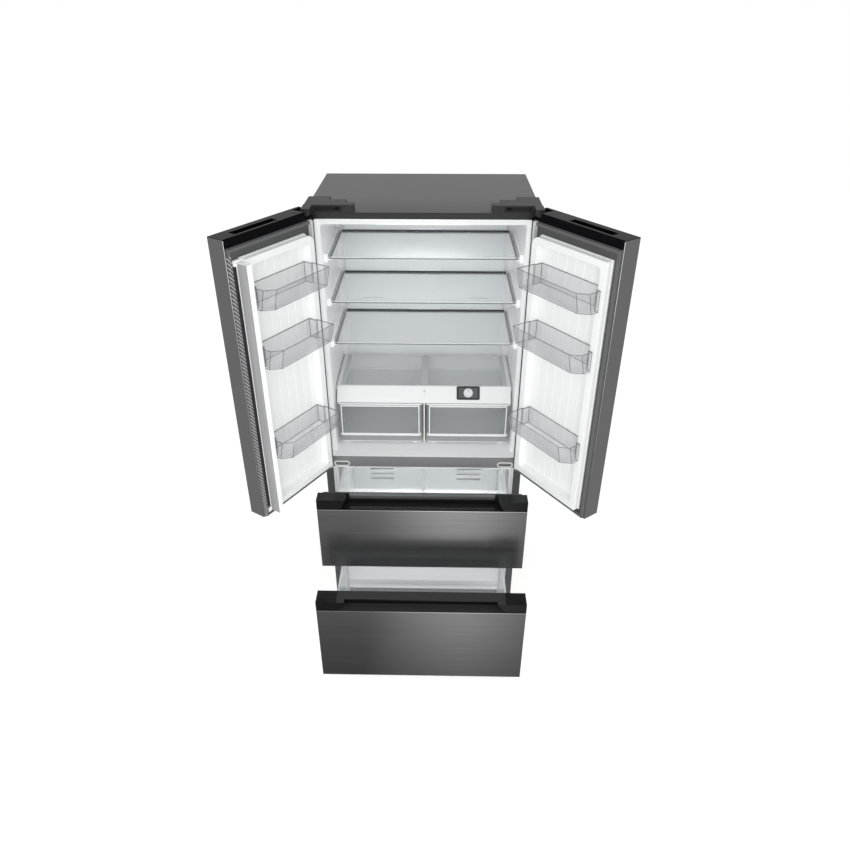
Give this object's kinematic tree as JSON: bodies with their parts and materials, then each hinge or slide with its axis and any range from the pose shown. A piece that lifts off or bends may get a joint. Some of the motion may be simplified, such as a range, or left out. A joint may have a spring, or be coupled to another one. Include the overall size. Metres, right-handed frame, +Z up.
{
  "type": "refrigerator",
  "caption": "Free-standing refrigerator with two hinged fridge doors over two pull-out freezer drawers, shelves, crispers and door bins inside.",
  "frame": {"origin": "on the floor under the middle of the part in its stored pose: x is 0 on the cabinet's centre plane, y is 0 halfway between the lower drawer's front and the cabinet's rear, z is 0 on the floor", "axes": "+X to the right as seen from the front, +Y to the rear, +Z up"},
  "size_m": [1.3209, 1.086, 1.884],
  "materials": {
    "cabinet_shell": "satin",
    "back_panel": "satin",
    "insulation": "foam",
    "fridge_liner": "gloss",
    "freezer_liner": "gloss",
    "divider_bars": "satin",
    "hinge_covers": "matt",
    "upper_hinges": "satin",
    "lower_hinges": "satin",
    "upper_shelf": "clear",
    "middle_shelf": "clear",
    "lower_shelf": "clear",
    "shelf_trims": "matt",
    "crisper_cover": "gloss",
    "crisper_glass": "clear",
    "control_plate": "gloss",
    "rear_duct": "satin",
    "ceiling_lamp": "gloss",
    "freezer_duct": "satin",
    "evaporator": "satin",
    "compressor": "satin",
    "condenser": "satin",
    "drip_tray": "matt",
    "base_pan": "satin",
    "rear_cover": "satin",
    "front_feet": "matt",
    "fixed_rails": "satin",
    "evaporator_fan": "matt",
    "rear_rollers": "matt",
    "control_dial": "satin",
    "left_crisper": "clear",
    "right_crisper": "clear",
    "left_door_skin": "brushed",
    "left_door_core": "foam",
    "left_door_caps": "matt",
    "left_door_liner": "gloss",
    "left_door_gasket": "matt",
    "left_door_bins": "clear",
    "right_door_skin": "brushed",
    "right_door_core": "foam",
    "right_door_caps": "matt",
    "right_door_liner": "gloss",
    "right_door_gasket": "matt",
    "right_door_bins": "clear",
    "mullion_body": "gloss",
    "mullion_face": "satin",
    "upper_drawer_skin": "brushed",
    "upper_drawer_core": "foam",
    "upper_drawer_cap": "matt",
    "upper_drawer_gasket": "matt",
    "upper_basket": "clear",
    "upper_runners": "satin",
    "lower_drawer_skin": "brushed",
    "lower_drawer_core": "foam",
    "lower_drawer_cap": "matt",
    "lower_drawer_gasket": "matt",
    "lower_basket": "clear",
    "lower_runners": "satin",
    "upper_slide_middles": "satin",
    "lower_slide_middles": "satin"
  },
  "bodies": {
    "cabinet": {"cabinet_shell": "cabinet_shell", "back_panel": "back_panel", "insulation": "insulation", "fridge_liner": "fridge_liner", "freezer_liner": "freezer_liner", "divider_bars": "divider_bars", "hinge_covers": "hinge_covers", "upper_hinges": "upper_hinges", "lower_hinges": "lower_hinges", "upper_shelf": "upper_shelf", "middle_shelf": "middle_shelf", "lower_shelf": "lower_shelf", "shelf_trims": "shelf_trims", "crisper_cover": "crisper_cover", "crisper_glass": "crisper_glass", "control_plate": "control_plate", "rear_duct": "rear_duct", "ceiling_lamp": "ceiling_lamp", "freezer_duct": "freezer_duct", "evaporator": "evaporator", "compressor": "compressor", "condenser": "condenser", "drip_tray": "drip_tray", "base_pan": "base_pan", "rear_cover": "rear_cover", "front_feet": "front_feet", "fixed_rails": "fixed_rails"},
    "fan": {"evaporator_fan": "evaporator_fan"},
    "rollers": {"rear_rollers": "rear_rollers"},
    "dial": {"control_dial": "control_dial"},
    "left_crisper": {"left_crisper": "left_crisper"},
    "right_crisper": {"right_crisper": "right_crisper"},
    "left_door": {"left_door_skin": "left_door_skin", "left_door_core": "left_door_core", "left_door_caps": "left_door_caps", "left_door_liner": "left_door_liner", "left_door_gasket": "left_door_gasket", "left_door_bins": "left_door_bins"},
    "right_door": {"right_door_skin": "right_door_skin", "right_door_core": "right_door_core", "right_door_caps": "right_door_caps", "right_door_liner": "right_door_liner", "right_door_gasket": "right_door_gasket", "right_door_bins": "right_door_bins"},
    "mullion": {"mullion_body": "mullion_body", "mullion_face": "mullion_face"},
    "upper_drawer": {"upper_drawer_skin": "upper_drawer_skin", "upper_drawer_core": "upper_drawer_core", "upper_drawer_cap": "upper_drawer_cap", "upper_drawer_gasket": "upper_drawer_gasket", "upper_basket": "upper_basket", "upper_runners": "upper_runners"},
    "lower_drawer": {"lower_drawer_skin": "lower_drawer_skin", "lower_drawer_core": "lower_drawer_core", "lower_drawer_cap": "lower_drawer_cap", "lower_drawer_gasket": "lower_drawer_gasket", "lower_basket": "lower_basket", "lower_runners": "lower_runners"},
    "upper_middles": {"upper_slide_middles": "upper_slide_middles"},
    "lower_middles": {"lower_slide_middles": "lower_slide_middles"}
  },
  "joints": [
    {"name": "left_door_hinge", "type": "hinge", "parent": "cabinet", "child": "left_door", "pos_m": [-0.4045, -0.099, 1.35], "axis": [0, 0, -1], "range_deg": [-122, 8]},
    {"name": "right_door_hinge", "type": "hinge", "parent": "cabinet", "child": "right_door", "pos_m": [0.4045, -0.099, 1.35], "axis": [0, 0, 1], "range_deg": [-125.5, 4.5]},
    {"name": "mullion_fold", "type": "hinge", "parent": "left_door", "child": "mullion", "pos_m": [-0.57613, -0.43689, 1.321], "axis": [0, 0, 1], "range_deg": [-90, 0]},
    {"name": "upper_drawer_slide", "type": "slide", "parent": "cabinet", "child": "upper_drawer", "axis": [0, -1, 0], "range_m": [-0.201, 0.199]},
    {"name": "lower_drawer_slide", "type": "slide", "parent": "cabinet", "child": "lower_drawer", "axis": [0, -1, 0], "range_m": [-0.405, 0.025]},
    {"name": "upper_middles_slide", "type": "slide", "parent": "cabinet", "child": "upper_middles", "axis": [0, -1, 0], "range_m": [-0.1005, 0.0995]},
    {"name": "lower_middles_slide", "type": "slide", "parent": "cabinet", "child": "lower_middles", "axis": [0, -1, 0], "range_m": [-0.2025, 0.0125]},
    {"name": "left_crisper_slide", "type": "slide", "parent": "cabinet", "child": "left_crisper", "axis": [0, -1, 0], "range_m": [0, 0.28]},
    {"name": "right_crisper_slide", "type": "slide", "parent": "cabinet", "child": "right_crisper", "axis": [0, -1, 0], "range_m": [0, 0.28]},
    {"name": "dial_turn", "type": "hinge", "parent": "cabinet", "child": "dial", "pos_m": [0.186, 0.06184, 1.07477], "axis": [0, -0.7916, 0.6111], "range_deg": [-135, 135]},
    {"name": "fan_spin", "type": "hinge", "parent": "cabinet", "child": "fan", "pos_m": [0, 0.425, 0.69], "axis": [0, 1, 0], "continuous": true},
    {"name": "rollers_spin", "type": "hinge", "parent": "cabinet", "child": "rollers", "pos_m": [0, 0.499, 0.02], "axis": [1, 0, 0], "continuous": true}
  ],
  "couplings": [
    {"joint": "upper_middles_slide", "follows": "upper_drawer_slide", "ratio": 0.5},
    {"joint": "lower_middles_slide", "follows": "lower_drawer_slide", "ratio": 0.5}
  ]
}
